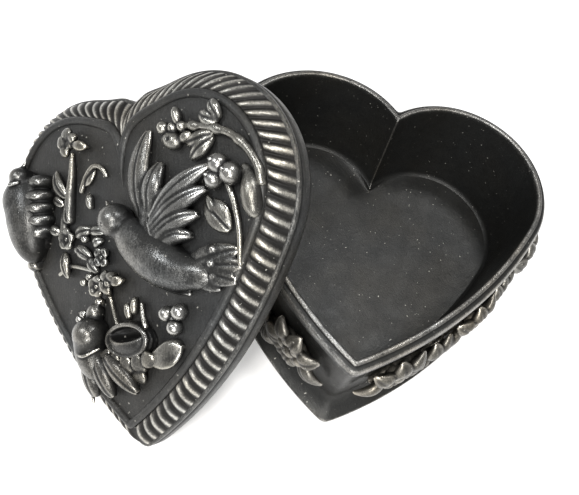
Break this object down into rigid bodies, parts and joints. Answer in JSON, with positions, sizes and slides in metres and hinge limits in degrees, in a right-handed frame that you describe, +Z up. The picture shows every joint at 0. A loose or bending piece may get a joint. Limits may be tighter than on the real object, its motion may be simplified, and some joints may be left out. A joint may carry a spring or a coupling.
{
  "type": "heart-shaped trinket box",
  "caption": "Heart-shaped pewter trinket box: open cup with a floral relief band and a loose lid with birds, blossoms and a fluted border.",
  "frame": {"origin": "centre of the cup's resting face, on the table under the middle of the heart outline", "axes": "+Z up out of the cup, +Y towards the heart's cleft, -Y towards its tip, +X to the right; the lid leans off to -X"},
  "size_m": [0.1135, 0.0865, 0.0503],
  "materials": {
    "pewter_cup": "antiqued cast pewter, satin with brushed wear",
    "pewter_cup_relief": "antiqued cast pewter with rubbed highlights",
    "pewter_lid": "antiqued cast pewter, fine grain and scratches",
    "pewter_flutes": "antiqued cast pewter, crests rubbed bright, grooves dark",
    "pewter_figures": "antiqued cast pewter, polished on the high parts",
    "pewter_relief": "antiqued cast pewter with rubbed highlights"
  },
  "bodies": {
    "base": {"base_cup": "pewter_cup", "side_vines": "pewter_cup_relief", "side_leaves": "pewter_cup_relief", "side_berries": "pewter_cup_relief", "side_flowers": "pewter_cup_relief"},
    "lid": {"lid_shell": "pewter_lid", "lid_gadroons": "pewter_flutes", "lid_bead": "pewter_lid", "dove_body": "pewter_figures", "dove_tail": "pewter_figures", "dove_left_wing": "pewter_figures", "dove_right_wing": "pewter_figures", "upper_bough": "pewter_relief", "bough_blossom": "pewter_relief", "bough_leaves": "pewter_relief", "berry_stem": "pewter_relief", "stem_berries": "pewter_relief", "stem_leaves": "pewter_relief", "corner_flower": "pewter_relief", "corner_stem": "pewter_relief", "corner_leaves": "pewter_relief", "perched_bird": "pewter_figures", "perched_bird_wings": "pewter_figures", "centre_foliage": "pewter_relief", "lower_blossoms": "pewter_relief", "nest_stems": "pewter_relief", "nest": "pewter_figures", "nest_bird": "pewter_figures", "nest_bird_tail": "pewter_figures", "nest_petals": "pewter_relief", "berry_trio": "pewter_relief", "berry_leaf": "pewter_relief"}
  },
  "joints": [
    {"name": "lid_lift", "type": "slide", "parent": "base", "child": "lid", "axis": [-0.515, -0.5038, 0.6935], "range_m": [0, 0.06]}
  ]
}
